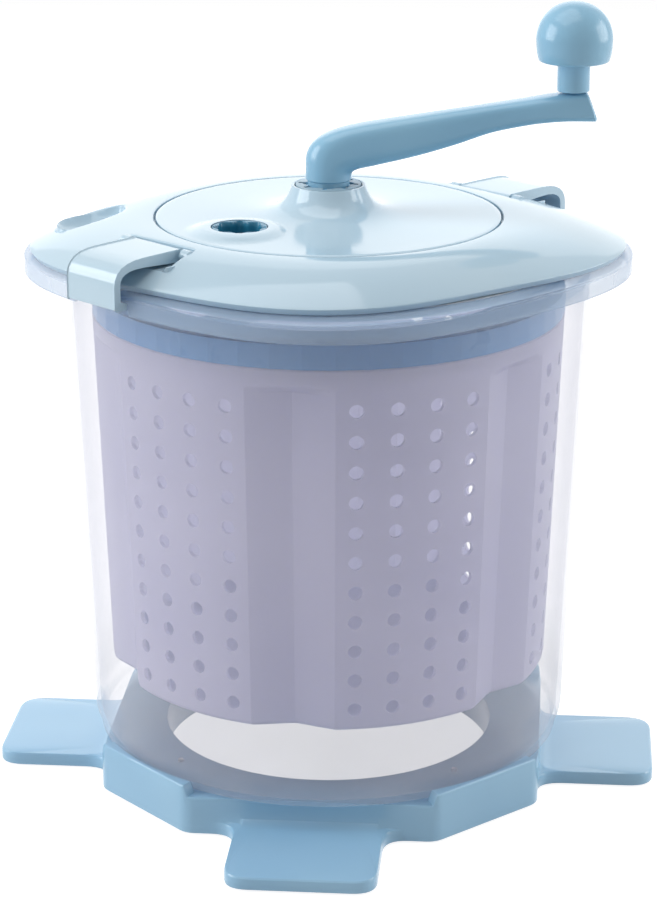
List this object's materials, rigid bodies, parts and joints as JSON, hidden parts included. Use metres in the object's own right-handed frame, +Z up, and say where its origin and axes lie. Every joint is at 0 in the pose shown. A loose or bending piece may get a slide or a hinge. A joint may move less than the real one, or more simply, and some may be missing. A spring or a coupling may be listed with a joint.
{
  "type": "manual washing machine",
  "caption": "Hand-crank washer: clear tub on a four-footed base, perforated spin basket, clip-on domed lid with central and offset crank sockets.",
  "frame": {"origin": "on the basket's axis, at the surface that the rubber feet rest on", "axes": "+Z up along the basket's axis, +X from the hub towards the crank's knob as pictured, +Y away from the picture's viewer"},
  "size_m": [0.3642, 0.3642, 0.4203],
  "materials": {
    "pale_blue": "smooth, glossy",
    "crank_blue": "smooth, glossy",
    "deep_blue": "smooth, satin",
    "pale_grey": "smooth, satin",
    "lilac_white": "smooth, satin",
    "clear_plastic": "clear, glossy",
    "white_plastic": "plain moulded",
    "grey_rubber": "plain moulded",
    "seal_silicone": "plain moulded",
    "steel": "turned"
  },
  "bodies": {
    "tub_unit": {"base_ring": "pale_blue", "foot_pad_1": "grey_rubber", "foot_pad_2": "grey_rubber", "foot_pad_3": "grey_rubber", "foot_pad_4": "grey_rubber", "base_screw_1": "steel", "base_screw_2": "steel", "base_screw_3": "steel", "base_screw_4": "steel", "tub": "clear_plastic", "pivot_pin": "steel"},
    "basket_unit": {"basket": "lilac_white", "basket_bush": "white_plastic"},
    "cover_unit": {"basket_cover": "crank_blue"},
    "lid_unit": {"lid": "pale_blue", "lid_seal": "seal_silicone", "gear_cover": "pale_blue", "gear_case": "white_plastic", "case_screw_1": "steel", "case_screw_2": "steel", "case_screw_3": "steel", "shaft_bush": "white_plastic", "latch_pin_left": "steel", "latch_pin_right": "steel"},
    "drive_unit": {"centre_gear": "pale_grey", "drive_shaft": "deep_blue", "shaft_screw": "steel"},
    "offset_unit": {"offset_gear": "deep_blue"},
    "crank_unit": {"crank_arm": "crank_blue", "knob_pin": "steel"},
    "knob_unit": {"crank_knob": "crank_blue"},
    "latch_left_unit": {"latch_left": "pale_blue"},
    "latch_right_unit": {"latch_right": "pale_blue"}
  },
  "joints": [
    {"name": "basket_spin", "type": "hinge", "parent": "tub_unit", "child": "basket_unit", "pos_m": [0, 0, 0.061], "axis": [0, 0, 1], "continuous": true},
    {"name": "cover_lift", "type": "slide", "parent": "basket_unit", "child": "cover_unit", "axis": [0, 0, 1], "range_m": [0, 0.024]},
    {"name": "lid_lift", "type": "slide", "parent": "tub_unit", "child": "lid_unit", "axis": [0, 0, 1], "range_m": [0, 0.06]},
    {"name": "latch_left_hinge", "type": "hinge", "parent": "lid_unit", "child": "latch_left_unit", "pos_m": [-0.07425, -0.07425, 0.3039], "axis": [-0.7071, 0.7071, 0], "range_deg": [0, 100]},
    {"name": "latch_right_hinge", "type": "hinge", "parent": "lid_unit", "child": "latch_right_unit", "pos_m": [0.07425, 0.07425, 0.3039], "axis": [0.7071, -0.7071, 0], "range_deg": [0, 100]},
    {"name": "centre_drive_spin", "type": "hinge", "parent": "lid_unit", "child": "drive_unit", "pos_m": [0, 0, 0.29], "axis": [0, 0, 1], "continuous": true},
    {"name": "offset_gear_spin", "type": "hinge", "parent": "lid_unit", "child": "offset_unit", "pos_m": [-0.04596, -0.03857, 0.29], "axis": [0, 0, 1], "continuous": true},
    {"name": "crank_pull", "type": "slide", "parent": "drive_unit", "child": "crank_unit", "axis": [0, 0, 1], "range_m": [0, 0.03]},
    {"name": "knob_spin", "type": "hinge", "parent": "crank_unit", "child": "knob_unit", "pos_m": [0.1278, 0, 0.3736], "axis": [0, 0, 1], "continuous": true}
  ],
  "couplings": [
    {"joint": "centre_drive_spin", "follows": "basket_spin", "ratio": 1},
    {"joint": "offset_gear_spin", "follows": "basket_spin", "ratio": -1.5},
    {"joint": "cover_lift", "follows": "lid_lift", "ratio": 0.4},
    {"joint": "latch_left_hinge", "follows": "lid_lift", "rad_per_m": 29},
    {"joint": "latch_right_hinge", "follows": "lid_lift", "rad_per_m": 29}
  ]
}
